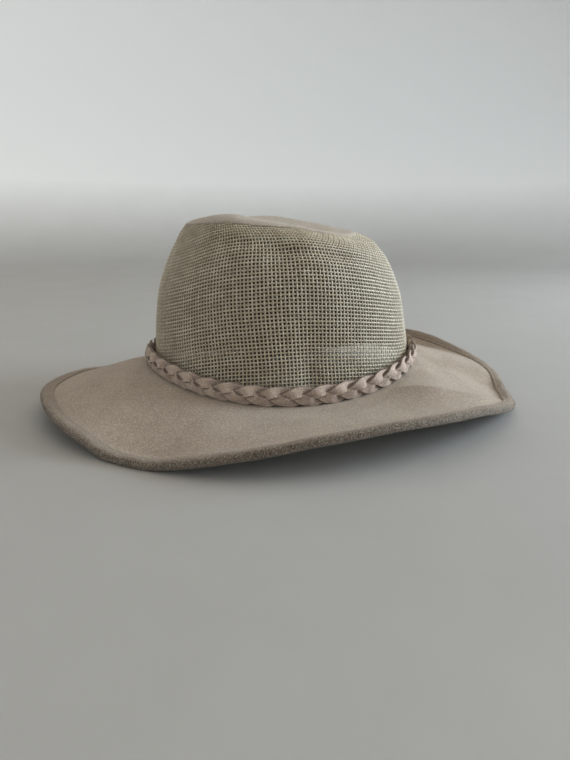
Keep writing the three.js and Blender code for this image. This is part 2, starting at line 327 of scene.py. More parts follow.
def cord_tree():
    """Sweeps a flat rounded section along lines, with its flat side turned outwards."""
    tree, start, end = new_tree("swept_cord", [
        ("Width", "NodeSocketFloat"), ("Thickness", "NodeSocketFloat"),
        ("Rounding", "NodeSocketFloat"), ("Corner Points", "NodeSocketInt"),
        ("Material", "NodeSocketMaterial"),
    ])
    line = add_node(tree, "GeometryNodeMeshToCurve", _0=start.outputs["Geometry"])
    outward = named_value(tree, "outward", "FLOAT_VECTOR")
    turned = add_node(
        tree, "GeometryNodeSetCurveNormal", {"mode": "FREE"}, _0=line.outputs[0],
        Normal=outward.outputs["Attribute"])
    girth = named_value(tree, "girth", "FLOAT")
    outline = add_node(
        tree, "GeometryNodeCurvePrimitiveQuadrilateral", {"mode": "RECTANGLE"},
        Width=start.outputs["Thickness"], Height=start.outputs["Width"])
    section = add_node(
        tree, "GeometryNodeFilletCurve", {"mode": "POLY"}, _0=outline.outputs[0],
        Count=start.outputs["Corner Points"], Radius=start.outputs["Rounding"], _3=True)
    place = add_node(tree, "GeometryNodeInputPosition")
    axes = add_node(tree, "ShaderNodeSeparateXYZ", Vector=place.outputs[0])
    width = calculate(
        tree, "MULTIPLY", calculate(tree, "ABSOLUTE", axes.outputs["Y"]), 2.0)
    across = calculate(tree, "DIVIDE", width, start.outputs["Width"])
    marked = add_node(
        tree, "GeometryNodeStoreNamedAttribute", {"data_type": "FLOAT", "domain": "POINT"},
        _0=section.outputs[0], Name="across", Value=across)
    swept = add_node(
        tree, "GeometryNodeCurveToMesh", _0=turned.outputs[0], _1=marked.outputs[0],
        Scale=girth.outputs["Attribute"])
    swept.inputs["Fill Caps"].default_value = True
    smooth = add_node(tree, "GeometryNodeSetShadeSmooth", _0=swept.outputs[0])
    finish_tree(tree, smooth.outputs[0], start.outputs["Material"], end)
    return tree


def stitch_tree():
    """Lays short rounded stitches along closed lines."""
    tree, start, end = new_tree("stitch_row", [
        ("Pitch", "NodeSocketFloat"), ("Length", "NodeSocketFloat"),
        ("Thread", "NodeSocketFloat"), ("Material", "NodeSocketMaterial"),
    ])
    line = add_node(tree, "GeometryNodeMeshToCurve", _0=start.outputs["Geometry"])
    spaced = add_node(
        tree, "GeometryNodeResampleCurve", {"mode": "LENGTH"}, _0=line.outputs[0],
        Length=start.outputs["Pitch"])
    tangent = add_node(tree, "GeometryNodeInputTangent")
    outward = named_value(tree, "outward", "FLOAT_VECTOR")
    face = add_node(
        tree, "FunctionNodeAxesToRotation", {"primary_axis": "X", "secondary_axis": "Z"},
        _0=tangent.outputs[0], _1=outward.outputs["Attribute"])
    bead = add_node(tree, "GeometryNodeMeshUVSphere", Segments=6, Rings=5, Radius=0.5)
    size = add_node(
        tree, "ShaderNodeCombineXYZ", X=start.outputs["Length"], Y=start.outputs["Thread"],
        Z=start.outputs["Thread"])
    laid = add_node(
        tree, "GeometryNodeInstanceOnPoints", Points=spaced.outputs[0],
        Instance=bead.outputs[0], Rotation=face.outputs[0], Scale=size.outputs[0])
    realized = add_node(tree, "GeometryNodeRealizeInstances", _0=laid.outputs[0])
    smooth = add_node(tree, "GeometryNodeSetShadeSmooth", _0=realized.outputs[0])
    finish_tree(tree, smooth.outputs[0], start.outputs["Material"], end)
    return tree


def fibre_tree():
    """Scatters short leaning fibres over a surface."""
    tree, start, end = new_tree("loose_fibres", [
        ("Density", "NodeSocketFloat"), ("Length", "NodeSocketFloat"),
        ("Thread", "NodeSocketFloat"), ("Lean", "NodeSocketFloat"), ("Seed", "NodeSocketInt"),
        ("Material", "NodeSocketMaterial"),
    ])
    spread = add_node(
        tree, "GeometryNodeDistributePointsOnFaces", {"distribute_method": "RANDOM"},
        Mesh=start.outputs["Geometry"], Density=start.outputs["Density"],
        Seed=start.outputs["Seed"])
    hair = add_node(
        tree, "GeometryNodeMeshCone", {"fill_type": "TRIANGLE_FAN"}, Vertices=3, _3=0.0, _4=0.5,
        Depth=1.0)
    low = add_node(tree, "ShaderNodeVectorMath", {"operation": "SCALE"},
                   Vector=(-1.0, -1.0, -1.0), Scale=start.outputs["Lean"])
    high = add_node(tree, "ShaderNodeVectorMath", {"operation": "SCALE"},
                    Vector=(1.0, 1.0, 1.0), Scale=start.outputs["Lean"])
    lean = add_node(
        tree, "FunctionNodeRandomValue", {"data_type": "FLOAT_VECTOR"}, _0=low.outputs[0],
        _1=high.outputs[0], Seed=3)
    direction = add_node(
        tree, "ShaderNodeVectorMath", {"operation": "ADD"}, _0=spread.outputs["Normal"],
        _1=lean.outputs[0])
    face = add_node(
        tree, "FunctionNodeAlignRotationToVector", {"axis": "Z"}, Vector=direction.outputs[0])
    size = add_node(
        tree, "ShaderNodeCombineXYZ", X=start.outputs["Thread"], Y=start.outputs["Thread"],
        Z=start.outputs["Length"])
    vary = add_node(
        tree, "FunctionNodeRandomValue", {"data_type": "FLOAT_VECTOR"}, _0=(0.7, 0.7, 0.35),
        _1=(1.3, 1.3, 1.4), Seed=5)
    scale = add_node(
        tree, "ShaderNodeVectorMath", {"operation": "MULTIPLY"}, _0=size.outputs[0],
        _1=vary.outputs[0])
    laid = add_node(
        tree, "GeometryNodeInstanceOnPoints", Points=spread.outputs["Points"],
        Instance=hair.outputs[0], Rotation=face.outputs[0], Scale=scale.outputs[0])
    finish_tree(tree, laid.outputs[0], start.outputs["Material"], end)
    return tree


def grow(name, base_mesh, tree, values):
    """Runs a node tree on a base mesh and returns the result as a plain piece."""
    base = link(bpy.data.objects.new(name + "_base", base_mesh))
    modifier = base.modifiers.new("grow", "NODES")
    modifier.node_group = tree
    for item in tree.interface.items_tree:
        if item.item_type == "SOCKET" and item.in_out == "INPUT" and item.name in values:
            modifier[item.identifier] = values[item.name]
    evaluated = base.evaluated_get(bpy.context.evaluated_depsgraph_get())
    mesh = bpy.data.meshes.new_from_object(evaluated)
    bpy.data.objects.remove(base)
    bpy.data.meshes.remove(base_mesh)
    mesh.name = name
    return link(bpy.data.objects.new(name, mesh))


# ---- finishes -------------------------------------------------------------------------------
TONES = ("Shade Tone", "Tone", "Light Tone")
SCALES = ("Patch Scale", "Nub Scale", "Grain Scale")


def nap_group():
    """Brushed leather: cloudy patches, small nubs and fine grain."""
    group = bpy.data.node_groups.new("leather_nap", "ShaderNodeTree")
    for key in TONES:
        group.interface.new_socket(key, in_out="INPUT", socket_type="NodeSocketColor")
    for key in (*SCALES, "Nub Strength"):
        group.interface.new_socket(key, in_out="INPUT", socket_type="NodeSocketFloat")
    group.interface.new_socket("Color", in_out="OUTPUT", socket_type="NodeSocketColor")
    group.interface.new_socket("Relief", in_out="OUTPUT", socket_type="NodeSocketFloat")
    start = group.nodes.new("NodeGroupInput")
    end = group.nodes.new("NodeGroupOutput")
    place = object_place(group)
    patch = noise(group, place, start.outputs["Patch Scale"], 5.0, 0.62)
    nub = noise(group, place, start.outputs["Nub Scale"], 3.0, 0.6)
    grain = noise(group, place, start.outputs["Grain Scale"], 2.0, 0.7)
    cloud = ranged(group, patch, 0.32, 0.68)
    base = blend(group, cloud, start.outputs["Shade Tone"], start.outputs["Tone"])
    fleck = ranged(group, nub, 0.44, 0.66)
    weight = calculate(group, "MULTIPLY", fleck, start.outputs["Nub Strength"])
    flecked = blend(group, weight, base, start.outputs["Light Tone"])
    speck = ranged(group, grain, 0.3, 0.7, 0.7, 1.24)
    group.links.new(blend(group, 1.0, flecked, speck, "MULTIPLY"), end.inputs["Color"])
    relief = calculate(group, "MULTIPLY_ADD", nub, 0.6, grain)
    group.links.new(relief, end.inputs["Relief"])
    return group


def new_material(name, roughness):
    material = bpy.data.materials.new(name)
    material.use_nodes = True
    tree = material.node_tree
    shader = first_node(tree, "BSDF_PRINCIPLED")
    shader.inputs["Roughness"].default_value = roughness
    return material, tree, shader


def tone(red, green, blue):
    return (red, green, blue, 1.0)


def suede(name, group, tones, scales, nub_strength, depth, sheen):
    """Brushed leather material from the nap group."""
    material, tree, shader = new_material(name, 0.92)
    nap = add_node(tree, "ShaderNodeGroup", {"node_tree": group})
    for key, value in zip(TONES + SCALES, tones + scales):
        nap.inputs[key].default_value = value
    nap.inputs["Nub Strength"].default_value = nub_strength
    tree.links.new(nap.outputs["Color"], shader.inputs["Base Color"])
    roughen(tree, shader, 1.0, depth, nap.outputs["Relief"])
    shader.inputs["Sheen Weight"].default_value = sheen
    shader.inputs["Sheen Roughness"].default_value = 0.6
    shader.inputs["Specular IOR Level"].default_value = 0.2
    return material


def fade_by_face(material, attribute, tones):
    """Fades a suede's tones from these to its own as a stored value goes from 0 to 1."""
    tree = material.node_tree
    nap = first_node(tree, "GROUP")
    value = stored(tree, attribute)
    for key, start in zip(TONES, tones):
        faded = blend(tree, value, start, tuple(nap.inputs[key].default_value))
        tree.links.new(faded, nap.inputs[key])


leather_nap = nap_group()
BRIM_SUEDE = suede(
    "brim_suede", leather_nap,
    (tone(0.30, 0.234, 0.178), tone(0.375, 0.302, 0.235), tone(0.62, 0.54, 0.45)),
    (38.0, 760.0, 1700.0), nub_strength=0.42, depth=0.0008, sheen=0.25)
TOP_SUEDE = suede(
    "crown_suede", leather_nap,
    (tone(0.36, 0.305, 0.25), tone(0.46, 0.40, 0.335), tone(0.64, 0.58, 0.51)),
    (38.0, 760.0, 1700.0), nub_strength=0.3, depth=0.0006, sheen=0.25)
# The binding's outer face and underside are much darker than its top: partly the binding's own
# darker suede, partly painted shade where they face down and away from the light.
BINDING_SUEDE = suede(
    "binding_suede", leather_nap,
    (tone(0.085, 0.062, 0.045), tone(0.15, 0.115, 0.088), tone(0.52, 0.45, 0.36)),
    (120.0, 1100.0, 1900.0), nub_strength=0.6, depth=0.001, sheen=0.2)
fade_by_face(
    BINDING_SUEDE, "outer_face",
    (tone(0.235, 0.18, 0.138), tone(0.30, 0.24, 0.188), tone(0.52, 0.44, 0.36)))
LACE_LEATHER = suede(
    "lace_leather", leather_nap,
    (tone(0.42, 0.31, 0.25), tone(0.58, 0.455, 0.375), tone(0.78, 0.68, 0.60)),
    (130.0, 900.0, 2100.0), nub_strength=0.45, depth=0.0007, sheen=0.2)


def yarn_material():
    """Flat coated yarn: each yarn a little lighter or darker, a soft shine, inner faces in painted
    shade.
    """
    material, tree, shader = new_material("net_yarn", 0.42)
    place = object_place(tree)
    patch = noise(tree, place, 160.0, 4.0, 0.65)
    both = calculate(tree, "MULTIPLY_ADD", patch, 1.2, stored(tree, "tint"))
    level = ranged(tree, both, 0.35, 1.3)
    outside = blend(tree, level, tone(0.36, 0.305, 0.215), tone(0.69, 0.64, 0.51))
    # Faces that look into the crown are painted dark brown: painted shade of the crown's hollow, so
    # the holes look dark.
    color = blend(tree, stored(tree, "inner_face"), outside, tone(0.09, 0.073, 0.052))
    tree.links.new(color, shader.inputs["Base Color"])
    roughen(tree, shader, 0.6, 0.0002, noise(tree, place, 2600.0, 2.0, 0.6))
    shader.inputs["Specular IOR Level"].default_value = 0.6
    return material


def plain_fibre(name, dark, light, scale, roughness):
    """Thread or loose fibre with a little change of tone along it."""
    material, tree, shader = new_material(name, roughness)
    level = ranged(tree, noise(tree, object_place(tree), scale, 2.0), 0.35, 0.65)
    tree.links.new(blend(tree, level, dark, light), shader.inputs["Base Color"])
    return material


def darken_edges(material):
    """Makes the edges of a swept lace darker: dark cut edges plus painted shade."""
    tree = material.node_tree
    shader = first_node(tree, "BSDF_PRINCIPLED")
    nap = first_node(tree, "GROUP")
    # The dark edge colour is partly the leather's darker cut edges, partly painted shade of the
    # thin gaps between the overlapping leaves.
    edge = ranged(tree, stored(tree, "across"), 0.84, 0.97, 0.0, 0.85)
    shade = blend(tree, edge, nap.outputs["Color"], tone(0.11, 0.075, 0.055))
    tree.links.new(shade, shader.inputs["Base Color"])


darken_edges(LACE_LEATHER)
NET_YARN = yarn_material()
STITCH_THREAD = plain_fibre(
    "stitch_thread", tone(0.30, 0.25, 0.2), tone(0.50, 0.44, 0.37), scale=900.0,
    roughness=0.7)
BINDING_FIBRE = plain_fibre(
    "binding_fibre", tone(0.16, 0.125, 0.095), tone(0.66, 0.59, 0.49), scale=1300.0,
    roughness=0.8)


# ---- brim -----------------------------------------------------------------------------------
CREST_TURN = 110.5       # where the ridge leaves the crown
CREST_SWEEP = 25.0       # degrees that it curves back by, on its way to the rim
CREST_RISE = 4.2
CREST_FRONT = 8.0        # degrees in which it falls away on either side
CREST_BACK = 5.0
CREST_START = 0.16       # shares of the brim between which it rises and dies out
CREST_START_FADE = 0.2
CREST_END = 0.93
CREST_END_FADE = 0.15
EASING = (-0.03, -0.015, 0.0, 0.015, 0.03)     # shares that round the bend at the curl line
EASED_FROM = 0.5
EASED_TO = 0.96
BRIM_STEP = 0.75         # degrees
BRIM_ROWS = 38
BRIM_UNEVEN = 0.28
EVEN_FOOT = 0.1          # shares of the brim that stay even by the net and by the binding
EVEN_HEM = 0.05
EVEN_FADE = 0.1


def foot_height(turn):
    return FOOT_HEIGHT + FOOT_SWING * np.cos(np.radians(2 * (turn + FOOT_TURN)))


def brim_crest(turn, share):
    """A sharp soft-leather ridge that curves out to the brim's back left corner."""
    away = turn_between(CREST_TURN + CREST_SWEEP * share ** 3, turn)
    fall = np.where(away < 0, CREST_FRONT, CREST_BACK)
    start = np.clip((share - CREST_START) / CREST_START_FADE, 0, 1)
    window = start * np.clip((CREST_END - share) / CREST_END_FADE, 0, 1)
    return CREST_RISE * np.exp(-np.abs(away) / fall) * window


def brim_height(turn, share):
    """Height of the middle of the leather; share 0 is the net's outer face, 1 the rim."""
    rim = value_round(BRIM_BENDS, 1, turn)
    curl_line = rim - value_round(BRIM_BENDS, 2, turn)
    out = share / CURL_SHARE
    folds = sum(h * bell(turn_between(at, turn), spread) for at, spread, h in BRIM_FOLDS)
    arch = folds * np.sin(math.pi * np.clip(out, 0, 1)) ** 2 + brim_crest(turn, share)
    inner = mix(foot_height(turn), curl_line, out * (0.7 + 0.3 * out)) + arch
    outer = mix(curl_line, rim, (share - CURL_SHARE) / (1 - CURL_SHARE))
    return np.where(share > CURL_SHARE, outer, inner)


def brim_point(turn, share):
    """The middle of the leather, with the bend at the curl line made round."""
    heights = [brim_height(turn, np.minimum(share + step, 1.0)) for step in EASING]
    eased = (share > EASED_FROM) & (share < EASED_TO)
    height = np.where(eased, sum(heights) / len(heights), brim_height(turn, share))
    return oval_point(
        turn, mix(HEAD_HALF_WIDTH, RIM_HALF_WIDTH, share),
        mix(HEAD_HALF_LENGTH, RIM_HALF_LENGTH, share), mix(HEAD_FORWARD, 0, share), height)


def make_brim():
    turns = np.arange(0, 360, BRIM_STEP)[:, None]
    rows = np.linspace(0.03, HEM_SHARE, BRIM_ROWS)
    shares = np.concatenate([[INNER_SHARE, 0.0], rows, [0.96, 1.0]])[None, :]
    middle = brim_point(turns, shares)
    normals = grid_normals(middle)
    normals *= np.sign(normals[..., 2:])
    free = np.clip((shares - EVEN_FOOT) / EVEN_FADE, 0, 1)
    free = free * np.clip((HEM_SHARE - EVEN_HEM - shares) / EVEN_FADE, 0, 1)
    uneven = soft_noise(turns, shares * 3, seed=11, waves=9, size=14) * BRIM_UNEVEN * free
    upper = middle + normals * (LEATHER / 2 + uneven)[..., None]
    lower = middle - normals * (LEATHER / 2 - uneven)[..., None]
    points = np.concatenate([upper, lower[:, ::-1]], 1)
    faces = ring_faces(points.shape[0], points.shape[1], True)
    piece = make_piece("suede_brim", points, faces, BRIM_SUEDE)
    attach(piece, "root")
    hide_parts("brim")


# ---- edge binding ---------------------------------------------------------------------------
# distance outside the rim, height above the middle of the leather
BINDING_SECTION = [
    (-6.5, 1.05), (-6.5, 1.3), (-6.35, 1.6), (-5.9, 1.8), (-5.1, 1.85), (-4.2, 2.2),
    (-3.0, 2.7), (-1.6, 2.98), (-0.3, 2.9), (0.9, 2.5), (1.7, 1.8), (2.15, 0.8),
    (2.2, -0.4), (1.95, -1.5), (1.3, -2.3), (0.3, -2.75), (-1.2, -2.9), (-3.0, -2.8),
    (-4.4, -2.5), (-5.4, -2.3), (-6.2, -2.2), (-6.5, -1.8), (-6.5, -1.3), (0.3, -1.3),
    (0.3, 1.3),
]
BINDING_NOSE = 11        # the point of that section which stands farthest out
BINDING_SKIN = slice(8, 20)        # its points that carry loose fibres
STITCH_LINES = ((4, 1), (19, -1))  # its points that carry a row of stitches, and their sides
STITCH_LIFT = 0.12
STITCH_FLOOR = 0.3       # least height of a stitch above the table
SKIN_HEIGHT = 1.4        # points farther than this from the leather's middle are uneven
SKIN_UNEVEN = 0.13
# The strip's darkening is partly its own darker suede and partly painted shade on its outer face
# and underside.
DARK_PLACES = (-4.4, -0.6, 0.8, 1.6)   # distances outside the rim over which the strip darkens
DARK_SHARES = (0, 0.15, 0.5, 1)


def binding_frame(turns):
    """Rim, outward direction and upward normal of the brim's outer strip at each turn."""
    shares = np.array([[HEM_SHARE, 1.0]])
    ends = brim_point(turns[:, None], shares)
    rim = ends[:, 1]
    outward = unit(rim - ends[:, 0])
    along = np.roll(rim, -1, 0) - np.roll(rim, 1, 0)
    normal = unit(np.cross(along, outward))
    normal *= np.sign(normal[:, 2:])
    return rim, outward, normal


def make_binding():
    turns = np.arange(0, 360, GRID_STEP)
    rim, outward, normal = binding_frame(turns)
    rings = []
    for number, (out, up) in enumerate(BINDING_SECTION):
        lift = np.full(len(turns), float(up))
        if abs(up) > SKIN_HEIGHT:
            uneven = soft_noise(turns, number * 0.5, seed=21, waves=10, size=60) * SKIN_UNEVEN
            lift = up + np.sign(up) * uneven
        point = rim + outward * out + normal * lift[:, None]
        point[:, 2] = np.maximum(point[:, 2], 0)
        rings.append(point)
    points = np.stack(rings, 1)
    faces = ring_faces(points.shape[0], points.shape[1], True)
    piece = make_piece("rim_binding", points, faces, BINDING_SUEDE)
    # outer_face is 1 on the outer face and underside, which take the dark tones: own darker suede
    # plus painted shade.
    outer = np.interp([out for out, _ in BINDING_SECTION], DARK_PLACES, DARK_SHARES)
    outer[BINDING_NOSE:] = 1
    piece.data.attributes.new("outer_face", "FLOAT", "POINT").data.foreach_set(
        "value", np.tile(outer, len(turns)))
    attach(piece, "root")
    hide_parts("edge_binding")
    return points


def dress_binding(points):
    """Stitches along the binding's inner edge and loose fibres over its skin."""
    _, _, normal = binding_frame(np.arange(0, 360, GRID_STEP))
    rows = []
    for number, side in STITCH_LINES:
        line = points[:, number] + normal * side * STITCH_LIFT
        line[:, 2] = np.maximum(line[:, 2], STITCH_FLOOR)
        rows.append((line, True))
    base = line_mesh("stitch_lines", rows, outward=[normal, -normal])
    stitches = grow("binding_stitches", base, stitch_tree(), {
        "Pitch": 3.4 * MM, "Length": 2.6 * MM, "Thread": 0.55 * MM, "Material": STITCH_THREAD})
    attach(stitches, "root")
    skin = points[:, BINDING_SKIN]
    faces = ring_faces(skin.shape[0], skin.shape[1], False)
    mesh = bpy.data.meshes.new("binding_skin")
    mesh.from_pydata((skin.reshape(-1, 3) * MM).tolist(), [], faces.tolist())
    away = points[0, BINDING_NOSE + 1] - points[0].mean(0)
    if mesh.polygons[9].normal.dot(away.tolist()) < 0:
        mesh.flip_normals()
    fibres = grow("binding_fibres", mesh, fibre_tree(), {
        "Density": 2150000.0, "Length": 1.2 * MM, "Thread": 0.17 * MM, "Lean": 1.2, "Seed": 4,
        "Material": BINDING_FIBRE})
    keep_above_floor(fibres)
    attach(fibres, "root")


def keep_above_floor(piece):
    mesh = piece.data
    place = np.empty(len(mesh.vertices) * 3, np.float32)
    mesh.vertices.foreach_get("co", place)
    place[2::3] = np.maximum(place[2::3], 0)
    mesh.vertices.foreach_set("co", place)
    mesh.update()


# ---- woven net side -------------------------------------------------------------------------
COLUMNS = 234
ROW_PITCH = 2.42
WEAVE_LEVEL = 54.0       # height of row 0 where the weave stands highest
YARN_WIDTH = 1.08
YARN_THICKNESS = 0.62
YARN_WAVE = 0.29         # how far a yarn swings in and out of the weave's middle
YARN_SHADE = 0.16
NET_DEPTH = 0.8          # of the weave's middle inside the crown's outer face
FULL_PITCH = 2.45        # upright yarns keep their whole width down to this pitch
LEAST_WIDTH = 0.45       # share of it that they keep where they are drawn together
CROSSING_TRIES = 14      # rounds in which a crossing of two yarns settles in its place
CLOSE_TURN = 245.0       # the back right of the hat, where the weave is drawn closer
CLOSE_REACH = 99.0
CLOSE_FADE = 18.0
CLOSE_SHARE = 0.88
OPEN_LIMIT = 1.001       # yarns thicker than this have points at their crossings alone
# The yarns' faces towards this middle get painted shade in the yarn material.
INNER_MIDDLE = (0, 0, 45.0)        # what the inner faces of the yarns look at
INNER_SQUASH = (1, 0.8, 0.8)
INNER_START = 0.05
INNER_FADE = 0.5

# turn, how far a row of the weave lies below its highest place
ROW_DROP = np.array([
    (0, 18.5), (20, 12.7), (35, 6.6), (50, 2.4), (72, 0), (94, 1.5), (112, 4.7), (130, 8.8),
    (150, 12), (166, 13), (185, 11.5), (205, 7.5), (225, 3), (253, 0), (280, 2.5), (300, 8),
    (320, 14.5), (343, 20),
], float)
SPREAD_RATE = -0.0018    # change of the columns' density with height
SPREAD_TURN = 80.0
SPREAD_FOOT = 42.0       # heights between which it changes
SPREAD_RISE = 62.0


def seam_point(turn, reach):
    half_width, half_length, forward = NET_SECTIONS[-1, 1:]
    return oval_point(
        turn, half_width * reach, half_length * reach, forward, value_round(TOP_EDGE, 1, turn))


def net_point(turn, rise):
    turn, rise = np.broadcast_arrays(turn, rise)
    foot = brim_height(turn, np.zeros_like(turn, float)) + LEATHER / 2 + SEAT_GAP
    dent = 0
    for at, level, spread, reach, depth in NET_DENTS:
        dent = dent + depth * bell(turn_between(at, turn), spread) * bell(rise - level, reach)
    dent = dent * np.clip(rise / 0.1, 0, 1) * np.clip((1 - rise) / 0.05, 0, 1)
    half_width, half_length, forward = (value_along(NET_SECTIONS, k, rise) for k in (1, 2, 3))
    height = mix(foot, value_round(TOP_EDGE, 1, turn), rise)
    return oval_point(turn, half_width - dent, half_length - dent, forward, height)


class NetSurface:
    """The net's surface on a fine grid, read by turn and by length up from the foot."""

    def __init__(self):
        self.turns = np.arange(0, 360, GRID_STEP)
        self.levels = 220
        rises = np.linspace(0, 1, 400)
        points = net_point(self.turns[:, None], rises[None, :])
        steps = np.linalg.norm(np.diff(points, axis=1), axis=2)
        arc = np.concatenate([np.zeros((len(self.turns), 1)), np.cumsum(steps, 1)], 1)
        self.total = arc[:, -1]
        shares = np.linspace(0, 1, self.levels)
        rise_at = np.stack([np.interp(shares * a[-1], a, rises) for a in arc])
        self.points = net_point(self.turns[:, None], rise_at)
        self.normals = grid_normals(self.points)
        middle = self.points.mean((0, 1))
        if ((self.points - middle) * self.normals).sum() < 0:
            self.normals = -self.normals
        level = WEAVE_LEVEL - value_round(ROW_DROP, 1, self.turns)
        self.zero = np.array([
            np.interp(z, p[:, 2], shares * t) for z, p, t in zip(level, self.points, self.total)])

    def _weights(self, turn, length):
        share = np.clip(length / self.round_value(self.total, turn), 0, 1)
        a = (turn % 360) / GRID_STEP
        i = np.floor(a).astype(int)
        b = share * (self.levels - 1)
        j = np.minimum(np.floor(b).astype(int), self.levels - 2)
        count = len(self.turns)
        return i % count, (i + 1) % count, a - i, j, b - j

    def read(self, grid, turn, length):
        i, k, s, j, t = self._weights(turn, length)
        s = s[..., None]
        t = t[..., None]
        low = grid[i, j] * (1 - s) + grid[k, j] * s
        high = grid[i, j + 1] * (1 - s) + grid[k, j + 1] * s
        return low * (1 - t) + high * t

    def round_value(self, values, turn):
        return np.interp(turn % 360, np.append(self.turns, 360), np.append(values, values[0]))

    def place(self, column, row):
        """Turn and length up from the foot where a column crosses a row of the weave."""
        turn = column * 360.0 / COLUMNS
        length = np.zeros_like(turn)
        for _ in range(CROSSING_TRIES):
            length = row * ROW_PITCH + self.round_value(self.zero, turn)
            height = self.read(self.points, turn, length)[..., 2]
            turn = self.turn_of(column, height, turn)
        return turn, length

    def turn_of(self, column, height, turn):
        spread = SPREAD_RATE * np.clip(height - SPREAD_FOOT, 0, SPREAD_RISE)
        shift = spread * np.sin(np.radians(2 * (turn - SPREAD_TURN))) * 90 / math.pi
        return (column - shift) * 360.0 / COLUMNS


def weave_lines(net):
    """Lines of the upright and the round yarns, with the values that the sweep reads."""
    random = np.random.default_rng(7)
    last = int(net.total.max() / ROW_PITCH) + 12
    low = -int(net.zero.max() / ROW_PITCH) - 2
    halves = np.arange(low * 2, last * 2 + 1) / 2
    upright = []
    for column in range(COLUMNS):
        turn, length = net.place(np.full(len(halves), float(column)), halves)
        total = net.round_value(net.total, turn)
        inside = (length > 0.6) & (length < total - 0.6)
        first = np.argmax(inside)
        end = len(inside) - np.argmax(inside[::-1])
        foot = np.array([turn[first], 0.0])
        seam = np.array([turn[end - 1], total[end - 1]])
        turn = np.concatenate([[foot[0]], turn[first:end], [seam[0]]])
        length = np.concatenate([[foot[1]], length[first:end], [seam[1]]])
        wave = np.cos(math.pi * (halves[first:end] + column))
        wave = np.concatenate([[0.0], wave, [0.0]])
        upright.append((turn, length, wave, False, random.uniform(-YARN_SHADE, YARN_SHADE)))
    round_yarns = []
    steps = np.arange(0, COLUMNS * 2) / 2
    for row in range(low, last):
        turn, length = net.place(steps, np.full(len(steps), float(row)))
        total = net.round_value(net.total, turn)
        inside = (length > 0) & (length < total)
        wave = -np.cos(math.pi * (steps + row))
        shade = random.uniform(-YARN_SHADE, YARN_SHADE)
        if inside.all():
            round_yarns.append((turn, length, wave, True, shade))
            continue
        if not inside.any():
            continue
        turn_back = np.argmin(inside)
        order = (np.arange(len(steps)) + turn_back) % len(steps)
        runs = np.flatnonzero(np.diff(np.concatenate([[0], inside[order].astype(int), [0]])))
        for start, stop in zip(runs[::2], runs[1::2]):
            picks = order[np.arange(max(start - 1, 0), min(stop + 1, len(order)))]
            if len(picks) < 6:
                continue
            clipped = np.clip(length[picks], 0, total[picks])
            round_yarns.append((turn[picks], clipped, wave[picks], False, shade))
    return upright, round_yarns


def closer(turn):
    """How much thicker the yarns are where the weave is drawn closer."""
    away = np.abs(turn_between(CLOSE_TURN, turn))
    return 1 + CLOSE_SHARE * np.clip((CLOSE_REACH - away) / CLOSE_FADE, 0, 1)


def weave_mesh(name, net, yarns, width_of):
    """Lines through the crossings, and between them too where the weave is open."""
    lines = []
    outward = []
    girth = []
    tint = []
    for turn, length, wave, closed, shade in yarns:
        keep = (np.abs(wave) > 0.5) | (closer(turn) < OPEN_LIMIT)
        keep[[0, -1]] = True
        turn, length, wave = turn[keep], length[keep], wave[keep]
        normal = unit(net.read(net.normals, turn, length))
        middle = net.read(net.points, turn, length)
        lift = wave * YARN_WAVE * closer(turn) - NET_DEPTH
        lines.append((middle + normal * lift[:, None], closed))
        outward.append(normal)
        girth.append(width_of(turn, length))
        tint.append(np.full(len(turn), shade))
    return line_mesh(name, lines, outward=outward, girth=girth, tint=tint)


def mark_inner_face(piece):
    """Stores how far each point of a yarn faces the inside of the crown, where the yarn is painted
    in shade.
    """
    mesh = piece.data
    count = len(mesh.vertices)
    points = np.empty(count * 3)
    normals = np.empty(count * 3)
    mesh.vertices.foreach_get("co", points)
    mesh.vertex_normals.foreach_get("vector", normals)
    points = points.reshape(-1, 3) / MM
    normals = normals.reshape(-1, 3)
    outward = unit((points - np.array(INNER_MIDDLE)) * np.array(INNER_SQUASH))
    facing = (outward * normals).sum(1)
    inner = np.clip((INNER_START - facing) / INNER_FADE, 0, 1)
    mesh.attributes.new("inner_face", "FLOAT", "POINT").data.foreach_set("value", inner)


def make_net():
    net = NetSurface()
    upright, round_yarns = weave_lines(net)
    across = np.linalg.norm(np.roll(net.points, -1, 0) - net.points, axis=2) / GRID_STEP
    rise = np.clip(net.points[..., 2] - SPREAD_FOOT, 0, SPREAD_RISE)
    swing = np.cos(np.radians(2 * (net.turns[:, None] - SPREAD_TURN)))
    density = COLUMNS / 360 + SPREAD_RATE * rise * swing
    pitch = (across / density)[..., None]

    def upright_width(turn, length):
        share = net.read(pitch, turn, length)[:, 0] / FULL_PITCH
        return np.clip(share, LEAST_WIDTH, 1.0) * closer(turn)

    def round_width(turn, length):
        return closer(turn)

    tree = cord_tree()
    half = len(upright) // 2
    middle_row = len(round_yarns) // 2
    groups = [
        ("net_upright_yarns_left", upright[:half], upright_width),
        ("net_upright_yarns_right", upright[half:], upright_width),
        ("net_round_yarns_lower", round_yarns[:middle_row], round_width),
        ("net_round_yarns_upper", round_yarns[middle_row:], round_width),
    ]
    for name, yarns, width_of in groups:
        base = weave_mesh(name + "_lines", net, yarns, width_of)
        piece = grow(name, base, tree, {
            "Width": YARN_WIDTH * MM, "Thickness": YARN_THICKNESS * MM,
            "Rounding": YARN_THICKNESS * 0.4 * MM, "Corner Points": 1, "Material": NET_YARN})
        mark_inner_face(piece)
        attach(piece, "root")
        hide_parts("crown_net")


# ---- crown top ------------------------------------------------------------------------------
TOP_LAP = 0.8            # how far the suede's edge hangs over the net's upper edge
TOP_STEP = 1.25          # degrees
TOP_ROWS = 44
TOP_UNEVEN = 0.35


def top_rows(count):
    """The section of the crown top from its seam to its middle, read smoothly."""
    steps = np.arange(len(TOP_SECTIONS), dtype=float)
    table = np.column_stack([steps, TOP_SECTIONS])
    at = np.linspace(0, steps[-1], count)
    return np.stack([value_along(table, k, at) for k in (1, 2, 3, 4)], 1)


